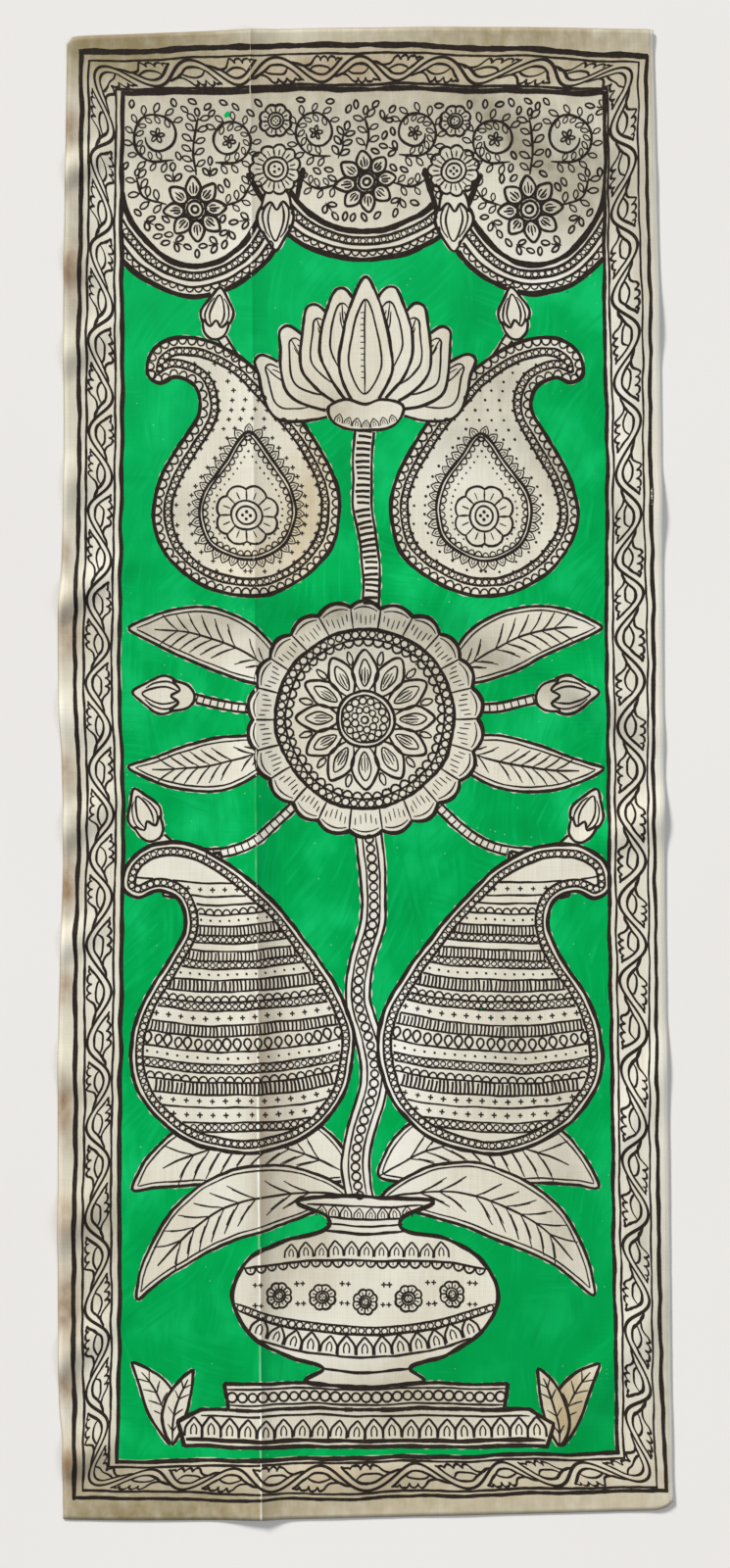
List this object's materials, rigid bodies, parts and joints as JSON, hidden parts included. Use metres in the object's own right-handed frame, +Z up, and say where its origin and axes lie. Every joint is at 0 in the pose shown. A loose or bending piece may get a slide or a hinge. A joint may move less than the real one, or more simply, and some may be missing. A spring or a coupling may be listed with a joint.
{
  "type": "pattachitra painting",
  "caption": "Long rectangular painted silk cloth with a leaf-vine border round a floral panel, lying face up with a long soft fold and rippled edges.",
  "frame": {"origin": "middle of the cloth's outline, on the surface that it lies on", "axes": "+Z up out of the painted face, +Y along the length towards the top of the picture, +X to the picture's right"},
  "size_m": [0.3141, 0.7616, 0.0045],
  "materials": {
    "silk": "slubby plain-weave tussar silk, matt with a faint sheen",
    "green_paint": "brushed opaque water-based paint in the cloth",
    "black_ink": "brushed brown-black ink in the cloth"
  },
  "bodies": {
    "root": {"painted_cloth": "silk"}
  },
  "joints": []
}
